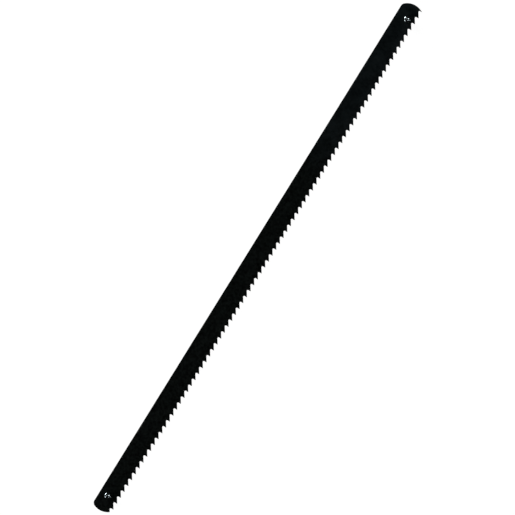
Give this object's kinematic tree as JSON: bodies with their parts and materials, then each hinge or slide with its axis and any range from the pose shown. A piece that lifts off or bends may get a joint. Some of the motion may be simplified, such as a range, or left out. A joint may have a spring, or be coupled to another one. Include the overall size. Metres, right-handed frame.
{
  "type": "pin-ended hacksaw blade",
  "caption": "Thin straight saw blade with one toothed edge, rounded ends and a short round cross pin through each end for hooking into a small saw frame.",
  "frame": {"origin": "centre of the part's bounding box: midway along the blade, midway across its width, at the middle of its thickness", "axes": "+X along the blade towards the rear pin (the heel), +Y across the blade towards its smooth back edge, with the teeth on the -Y edge pointing towards -X, and +Z out of the blade's upper side along the pins"},
  "size_m": [0.1588, 0.006, 0.006],
  "materials": {
    "black_steel": "thin near-black coating on hardened steel, satin, faintly mottled",
    "pin_steel": "plain drawn steel wire, with a bright rim round a shallow cup in each end"
  },
  "bodies": {
    "root": {"blade": "black_steel", "front_pin": "pin_steel", "rear_pin": "pin_steel"}
  },
  "joints": []
}
